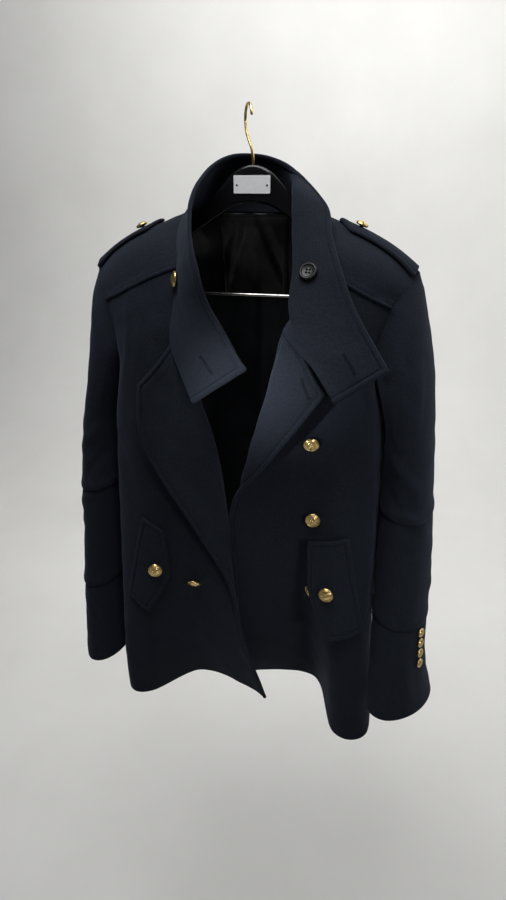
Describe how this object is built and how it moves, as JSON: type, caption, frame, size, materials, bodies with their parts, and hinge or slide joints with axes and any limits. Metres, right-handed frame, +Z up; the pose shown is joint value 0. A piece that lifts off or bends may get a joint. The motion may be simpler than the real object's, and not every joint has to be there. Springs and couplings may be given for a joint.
{
  "type": "coat on a hanger",
  "caption": "Short double-breasted wool coat hung open on a hanger: tall flared collar, rolled lapels, shoulder straps, slanted pocket flaps, metal buttons.",
  "frame": {"origin": "the inside top of the hanger's hook, where it hangs", "axes": "+Z up, the coat's front faces -Y, and its wearer's left is +X"},
  "size_m": [0.5842, 0.2844, 0.9043],
  "materials": {
    "wool": "dense brushed wool, matt",
    "lining": "dark lining, slight sheen",
    "leather": "smooth black leather, semi-gloss",
    "gold": "gold-coloured metal, polished relief",
    "horn": "black, polished",
    "hanger": "black lacquer",
    "brass": "bright wire",
    "steel": "bright wire",
    "plate": "white, plain"
  },
  "bodies": {
    "root": {"back": "wool", "back_lining": "lining", "button_collar": "horn", "button_cuff_left_1": "gold", "button_cuff_left_2": "gold", "button_cuff_left_3": "gold", "button_cuff_left_4": "gold", "button_cuff_right_1": "gold", "button_cuff_right_2": "gold", "button_cuff_right_3": "gold", "button_cuff_right_4": "gold", "button_front_left_1": "gold", "button_front_left_2": "gold", "button_front_left_3": "gold", "button_front_right_1": "gold", "button_front_right_2": "gold", "button_front_right_3": "gold", "button_neck_left": "gold", "button_neck_right": "gold", "button_pocket_left": "gold", "button_pocket_right": "gold", "button_shoulder_left": "gold", "button_shoulder_right": "gold", "collar": "wool", "cuff_left": "wool", "cuff_right": "wool", "facing_left": "wool", "facing_right": "wool", "front_left": "wool", "front_right": "wool", "hanger_arms": "hanger", "hanger_bar": "steel", "hanger_hook": "brass", "hanger_plate": "plate", "neck_patch": "leather", "pocket_flap_left": "wool", "pocket_flap_right": "wool", "shoulder_strap_left": "wool", "shoulder_strap_right": "wool", "sleeve_lower_left": "wool", "sleeve_lower_right": "wool", "sleeve_upper_left": "wool", "sleeve_upper_right": "wool", "yoke_left": "wool", "yoke_right": "wool"}
  },
  "joints": []
}
